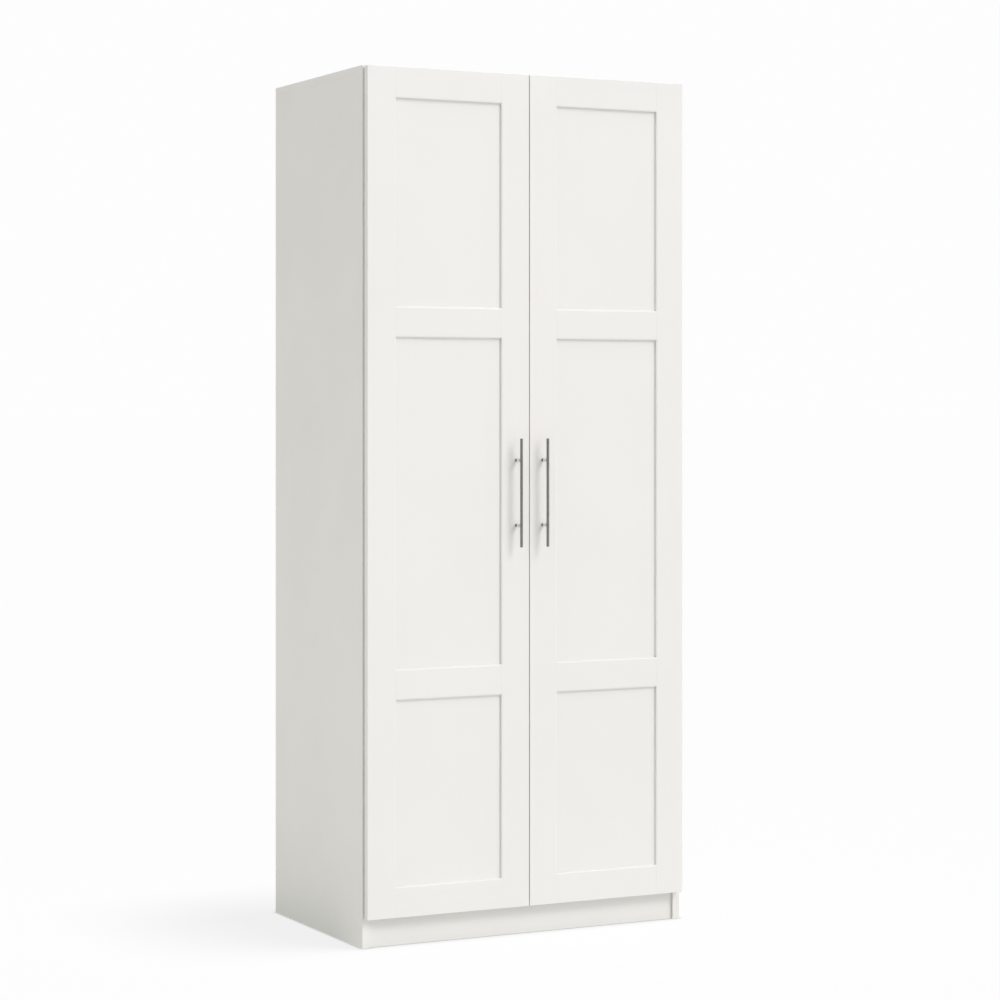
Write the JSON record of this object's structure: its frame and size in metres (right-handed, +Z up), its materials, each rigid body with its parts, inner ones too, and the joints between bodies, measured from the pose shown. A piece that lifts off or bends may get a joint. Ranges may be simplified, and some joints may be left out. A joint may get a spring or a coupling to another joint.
{
  "type": "pantry cabinet",
  "caption": "Tall white pantry cabinet with panelled hinged doors, bar handles, fixed and adjustable shelves and a recessed plinth.",
  "frame": {"origin": "on the floor in the middle of the footprint, handles included", "axes": "+Z up; the doors face -Y; +X to the right of someone facing the doors"},
  "size_m": [0.76, 0.518, 1.83],
  "materials": {
    "white_board": "white foil on particle board, satin",
    "door_paint": "white satin foil on fibreboard",
    "back_sheet": "white-faced hardboard, matt",
    "handle_steel": "brushed satin",
    "hinge_nickel": "nickel plated"
  },
  "bodies": {
    "carcass": {"side_panel_left": "white_board", "side_panel_right": "white_board", "top_board": "white_board", "bottom_board": "white_board", "fixed_shelf_lower": "white_board", "fixed_shelf_upper": "white_board", "plinth_board": "white_board", "back_panel": "back_sheet", "adjustable_shelf_middle": "white_board", "shelf_pin_middle_front_left": "hinge_nickel", "shelf_pin_middle_front_right": "hinge_nickel", "shelf_pin_middle_rear_left": "hinge_nickel", "shelf_pin_middle_rear_right": "hinge_nickel", "adjustable_shelf_top": "white_board", "shelf_pin_top_front_left": "hinge_nickel", "shelf_pin_top_front_right": "hinge_nickel", "shelf_pin_top_rear_left": "hinge_nickel", "shelf_pin_top_rear_right": "hinge_nickel", "left_hinge_arm_lower": "hinge_nickel", "left_hinge_plate_lower": "hinge_nickel", "left_hinge_arm_middle": "hinge_nickel", "left_hinge_plate_middle": "hinge_nickel", "left_hinge_arm_upper": "hinge_nickel", "left_hinge_plate_upper": "hinge_nickel", "right_hinge_arm_lower": "hinge_nickel", "right_hinge_plate_lower": "hinge_nickel", "right_hinge_arm_middle": "hinge_nickel", "right_hinge_plate_middle": "hinge_nickel", "right_hinge_arm_upper": "hinge_nickel", "right_hinge_plate_upper": "hinge_nickel"},
    "left_door": {"left_door_hinge_stile": "door_paint", "left_door_meeting_stile": "door_paint", "left_door_bottom_rail": "door_paint", "left_door_lower_rail": "door_paint", "left_door_upper_rail": "door_paint", "left_door_top_rail": "door_paint", "left_door_bottom_panel": "door_paint", "left_door_middle_panel": "door_paint", "left_door_top_panel": "door_paint", "left_door_handle_bar": "handle_steel", "left_door_handle_post_lower": "handle_steel", "left_door_handle_post_upper": "handle_steel", "left_door_hinge_cup_lower": "hinge_nickel", "left_door_hinge_cup_middle": "hinge_nickel", "left_door_hinge_cup_upper": "hinge_nickel"},
    "right_door": {"right_door_hinge_stile": "door_paint", "right_door_meeting_stile": "door_paint", "right_door_bottom_rail": "door_paint", "right_door_lower_rail": "door_paint", "right_door_upper_rail": "door_paint", "right_door_top_rail": "door_paint", "right_door_bottom_panel": "door_paint", "right_door_middle_panel": "door_paint", "right_door_top_panel": "door_paint", "right_door_handle_bar": "handle_steel", "right_door_handle_post_lower": "handle_steel", "right_door_handle_post_upper": "handle_steel", "right_door_hinge_cup_lower": "hinge_nickel", "right_door_hinge_cup_middle": "hinge_nickel", "right_door_hinge_cup_upper": "hinge_nickel"}
  },
  "joints": [
    {"name": "left_door_hinge", "type": "hinge", "parent": "carcass", "child": "left_door", "pos_m": [-0.37, -0.2245, 0.96], "axis": [0, 0, -1], "range_deg": [0, 100]},
    {"name": "right_door_hinge", "type": "hinge", "parent": "carcass", "child": "right_door", "pos_m": [0.37, -0.2245, 0.96], "axis": [0, 0, 1], "range_deg": [0, 100]}
  ]
}
